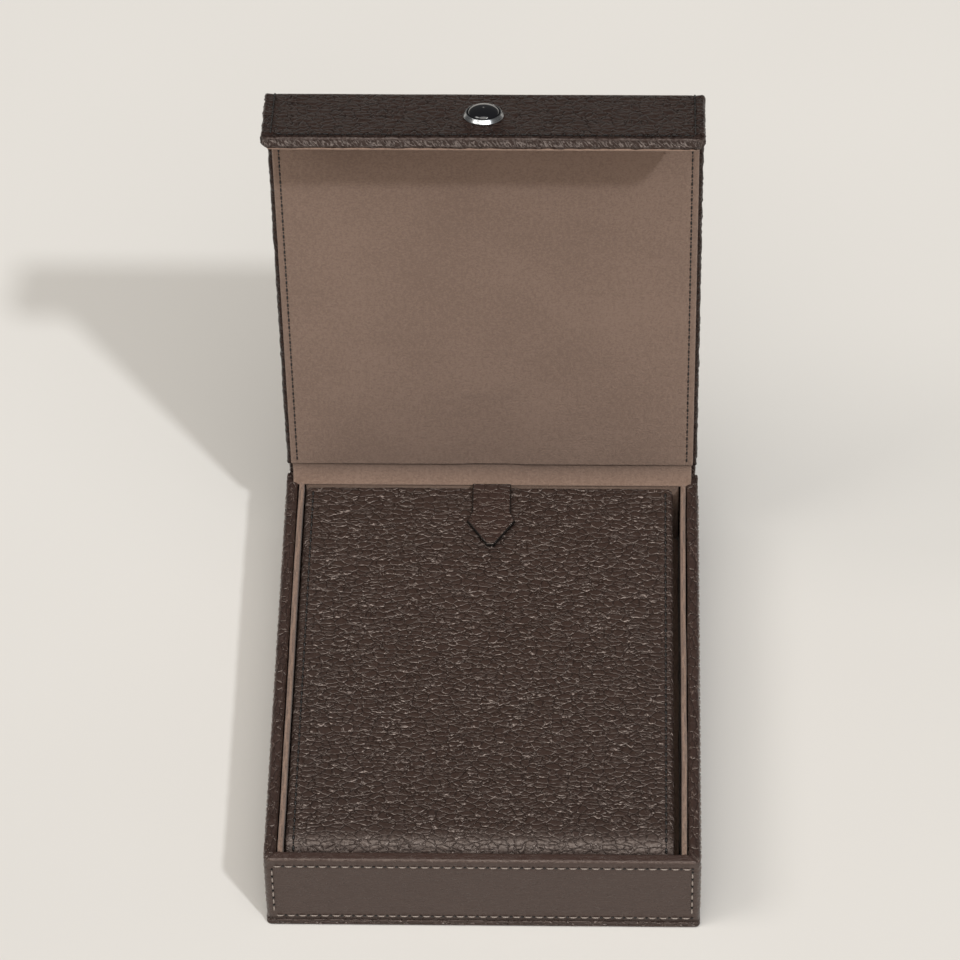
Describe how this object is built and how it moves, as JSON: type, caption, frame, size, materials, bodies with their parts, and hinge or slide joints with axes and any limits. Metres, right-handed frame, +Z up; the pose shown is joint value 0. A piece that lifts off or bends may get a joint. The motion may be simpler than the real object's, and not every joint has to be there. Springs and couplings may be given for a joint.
{
  "type": "pen case",
  "caption": "Leather pen case with a hinged lid and magnetic flap, a plain stud, suede lining and a lift-out folio of pen beds under a cover with a pull tab.",
  "frame": {"origin": "centre of the flat face that the case stands on", "axes": "+Z up, +Y from the flap side to the hinge side, +X to the right of the person who opens the case; the lid stands open at rest"},
  "size_m": [0.17, 0.209, 0.2682],
  "materials": {
    "dark_leather": "pebbled grain with a low sheen",
    "taupe_suede": "matt suede nap",
    "grey_board": "plain grey board",
    "polished_chrome": "polished",
    "black_enamel": "glossy black",
    "dull_steel": "dull"
  },
  "bodies": {
    "case": {"base_panel": "dark_leather", "floor_board": "grey_board", "case_leather": "dark_leather", "back_leather": "dark_leather", "front_board": "grey_board", "back_board": "grey_board", "left_board": "grey_board", "right_board": "grey_board", "liner_left": "taupe_suede", "liner_right": "taupe_suede", "liner_front": "taupe_suede", "liner_back": "taupe_suede", "liner_floor": "taupe_suede", "case_magnet_left": "dull_steel", "case_magnet_right": "dull_steel", "hinge_leather": "dark_leather", "hinge_lining": "taupe_suede"},
    "lid": {"lid_leather": "dark_leather", "lid_board": "grey_board", "lid_lining": "taupe_suede", "fold_leather": "dark_leather", "fold_lining": "taupe_suede"},
    "flap": {"flap_leather": "dark_leather", "flap_board": "grey_board", "flap_lining": "taupe_suede", "flap_magnet_left": "dull_steel", "flap_magnet_right": "dull_steel", "stud_ring": "polished_chrome", "stud_dome": "black_enamel", "stud_shank": "dull_steel", "stud_washer": "dull_steel"},
    "folio": {"folio_base": "dark_leather", "folio_spine": "dark_leather", "bed_floor": "taupe_suede", "rail_front": "taupe_suede", "rail_left": "taupe_suede", "rail_right": "taupe_suede", "rail_back": "taupe_suede", "divider_1": "taupe_suede", "divider_2": "taupe_suede", "divider_3": "taupe_suede", "divider_4": "taupe_suede", "divider_5": "taupe_suede"},
    "cover": {"cover_leather": "dark_leather", "cover_board": "grey_board", "cover_lining": "taupe_suede", "tab_root": "dark_leather", "tab_bend": "dark_leather"},
    "tab": {"pull_tab": "dark_leather"}
  },
  "joints": [
    {"name": "lid_hinge", "type": "hinge", "parent": "case", "child": "lid", "pos_m": [0, 0.10395, 0.04575], "axis": [-1, 0, 0], "range_deg": [-88, 15], "deforming": ["hinge_leather", "hinge_lining"]},
    {"name": "flap_fold", "type": "hinge", "parent": "lid", "child": "flap", "pos_m": [0, 0.09316, 0.25595], "axis": [-1, 0, 0], "range_deg": [-16, 20], "deforming": ["fold_leather", "fold_lining"]},
    {"name": "folio_lift", "type": "slide", "parent": "case", "child": "folio", "axis": [0, 0, 1], "range_m": [0, 0.05]},
    {"name": "cover_hinge", "type": "hinge", "parent": "folio", "child": "cover", "pos_m": [-0.0011, -0.09, 0.031], "axis": [1, 0, 0], "range_deg": [0, 100], "deforming": ["folio_spine"]},
    {"name": "tab_hinge", "type": "hinge", "parent": "cover", "child": "tab", "pos_m": [0, 0.0907, 0.0393], "axis": [-1, 0, 0], "range_deg": [0, 95], "deforming": ["tab_bend"]}
  ]
}
